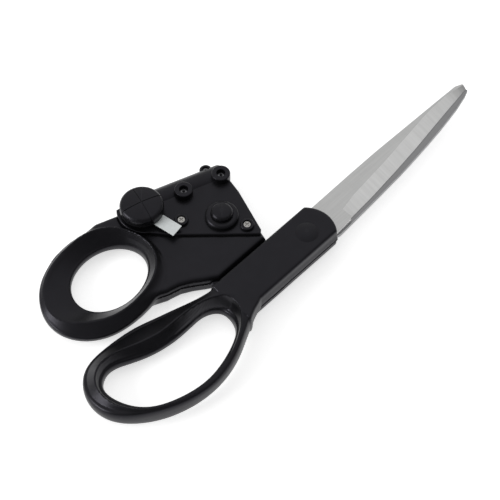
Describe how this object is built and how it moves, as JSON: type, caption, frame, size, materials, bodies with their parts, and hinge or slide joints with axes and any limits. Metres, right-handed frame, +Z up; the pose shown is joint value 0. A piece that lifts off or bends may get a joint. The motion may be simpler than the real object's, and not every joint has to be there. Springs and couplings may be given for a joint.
{
  "type": "laser-guided dressmaker's scissors",
  "caption": "Right-handed fabric scissors with offset thumb ring and finger loop, steel blades, and a laser line guide with battery cap and push button in the thumb handle.",
  "frame": {"origin": "on the blade pivot's axis, in the plane of the flat underside that the scissors lie on", "axes": "+X along the neck towards the blade tips, +Y towards the thumb ring and laser housing, +Z up, along the pivot"},
  "size_m": [0.2521, 0.1035, 0.0212],
  "materials": {
    "handle_plastic": "black moulded ABS, satin, slightly shiny where the edges are rounded",
    "blade_steel": "ground stainless steel, matte grey faces with a brighter cross-ground bevel",
    "fastener_steel": "bright plated steel",
    "black_steel": "black oxide steel",
    "nylon": "natural nylon",
    "contact_metal": "nickel-plated spring metal",
    "spring_steel": "spring wire",
    "cell_steel": "polished stainless can",
    "board": "green solder mask over glass fibre",
    "component_black": "moulded epoxy",
    "switch_white": "white plastic",
    "brass": "turned brass",
    "diode_gold": "gold-plated can",
    "clear": "clear glass",
    "wire_black": "black wire insulation",
    "wire_red": "red wire insulation",
    "tab_film": "pale white plastic film"
  },
  "bodies": {
    "thumb_half": {"thumb_handle": "handle_plastic", "lower_blade": "blade_steel", "laser_cover": "handle_plastic", "cover_screws": "fastener_steel", "battery_contact": "contact_metal", "button_cell_lower": "cell_steel", "button_cell_upper": "cell_steel", "circuit_board": "board", "resistor": "component_black", "switch_body": "component_black", "button_spring": "spring_steel", "laser_window": "clear", "battery_lead": "wire_black", "laser_lead_red": "wire_red", "laser_lead_black": "wire_black", "pivot_plug": "handle_plastic"},
    "finger_half": {"finger_handle": "handle_plastic", "upper_blade": "blade_steel", "pivot_screw": "fastener_steel", "pivot_nut": "fastener_steel", "pivot_washer": "nylon", "pivot_cap": "handle_plastic"},
    "cap_contact": {"contact_disc": "contact_metal", "contact_spring": "contact_metal"},
    "battery_cap": {"battery_cap": "handle_plastic"},
    "pull_tab": {"pull_tab": "tab_film"},
    "power_button": {"power_button": "handle_plastic"},
    "switch_plunger": {"switch_plunger": "switch_white"},
    "laser_module": {"laser_barrel": "brass", "laser_diode": "diode_gold", "line_lens": "clear"},
    "adjusting_screw_rear": {"adjusting_screw_rear": "black_steel"},
    "adjusting_screw_front": {"adjusting_screw_front": "black_steel"},
    "adjusting_screw_side": {"adjusting_screw_side": "black_steel"}
  },
  "joints": [
    {"name": "blade_pivot", "type": "hinge", "parent": "thumb_half", "child": "finger_half", "pos_m": [0, 0, 0], "axis": [0, 0, 1], "range_deg": [0, 55]},
    {"name": "button_press", "type": "slide", "parent": "thumb_half", "child": "power_button", "axis": [0, 0, -1], "range_m": [0, 0.001], "stiffness_N_per_m": 400, "deforming": ["button_spring"]},
    {"name": "plunger_press", "type": "slide", "parent": "thumb_half", "child": "switch_plunger", "axis": [0, 0, -1], "range_m": [0, 0.001], "stiffness_N_per_m": 100},
    {"name": "cap_turn", "type": "hinge", "parent": "cap_contact", "child": "battery_cap", "pos_m": [-0.0447, 0.0647, 0], "axis": [0, 0, 1], "range_deg": [0, 540]},
    {"name": "cap_lift", "type": "slide", "parent": "thumb_half", "child": "cap_contact", "axis": [0, 0, 1], "range_m": [0, 0.003]},
    {"name": "tab_pull", "type": "slide", "parent": "thumb_half", "child": "pull_tab", "axis": [0.1564, -0.9877, 0], "range_m": [0, 0.024]},
    {"name": "rear_screw_turn", "type": "hinge", "parent": "thumb_half", "child": "adjusting_screw_rear", "pos_m": [-0.0232, 0.0585, 0], "axis": [0, 0, -1], "range_deg": [0, 360]},
    {"name": "laser_aim", "type": "hinge", "parent": "thumb_half", "child": "laser_module", "pos_m": [-0.0047, 0.05561, 0.006], "axis": [-0.342, -0.9397, 0], "range_deg": [0, 1.6]},
    {"name": "front_screw_turn", "type": "hinge", "parent": "thumb_half", "child": "adjusting_screw_front", "pos_m": [-0.0041, 0.0525, 0], "axis": [0, 0, -1], "range_deg": [-180, 180]},
    {"name": "side_screw_turn", "type": "hinge", "parent": "thumb_half", "child": "adjusting_screw_side", "pos_m": [-0.005, 0.062, 0], "axis": [0, 0, -1], "range_deg": [-180, 180]}
  ],
  "couplings": [
    {"joint": "plunger_press", "follows": "button_press", "ratio": 1},
    {"joint": "cap_turn", "follows": "cap_lift", "rad_per_m": 3141.6},
    {"joint": "rear_screw_turn", "follows": "laser_aim", "ratio": 225}
  ]
}
